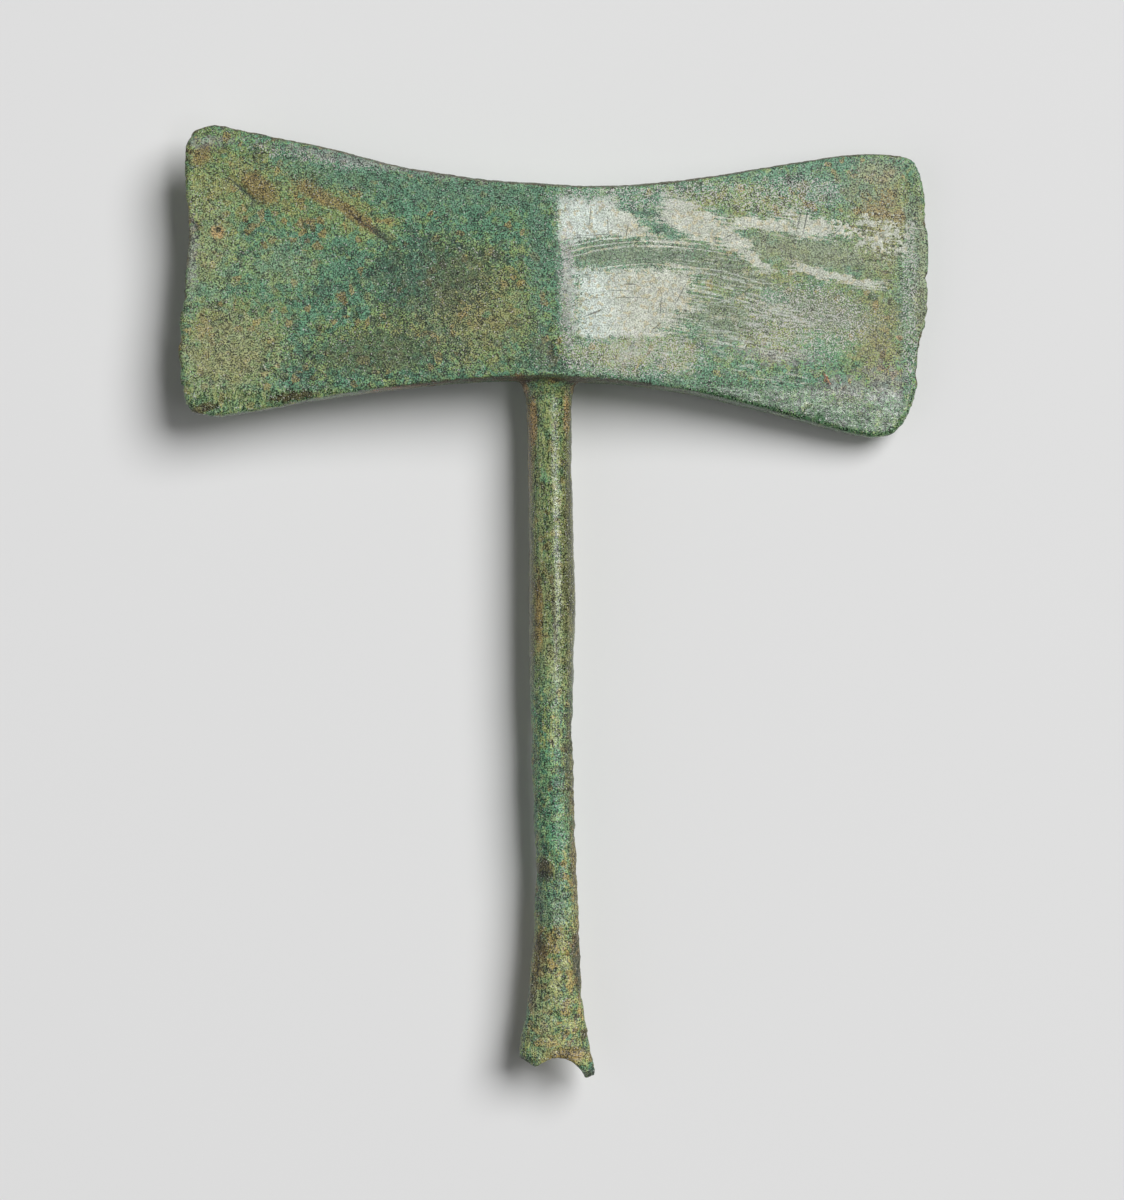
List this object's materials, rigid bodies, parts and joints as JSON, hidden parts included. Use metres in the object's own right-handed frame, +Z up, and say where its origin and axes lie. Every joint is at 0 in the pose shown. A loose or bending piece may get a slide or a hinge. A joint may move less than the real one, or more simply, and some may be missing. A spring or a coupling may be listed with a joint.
{
  "type": "miniature bronze double axe with rod shaft",
  "caption": "Small cast double axe: a waisted wedge-faced head on a round rod that flares to a hanging eye, now broken away.",
  "frame": {"origin": "on the surface it lies on, under the middle of the back ridge where that ridge is worn flat", "axes": "+Z up from the surface, +Y along the rod towards the head, +X along the head towards the side it leans to"},
  "size_m": [0.0788, 0.1002, 0.0102],
  "materials": {
    "patinated_bronze": "grainy green patina over cast bronze, abraded pale on the right face, brown and ochre earth in the hollows"
  },
  "bodies": {
    "root": {"double_axe": "patinated_bronze"}
  },
  "joints": []
}
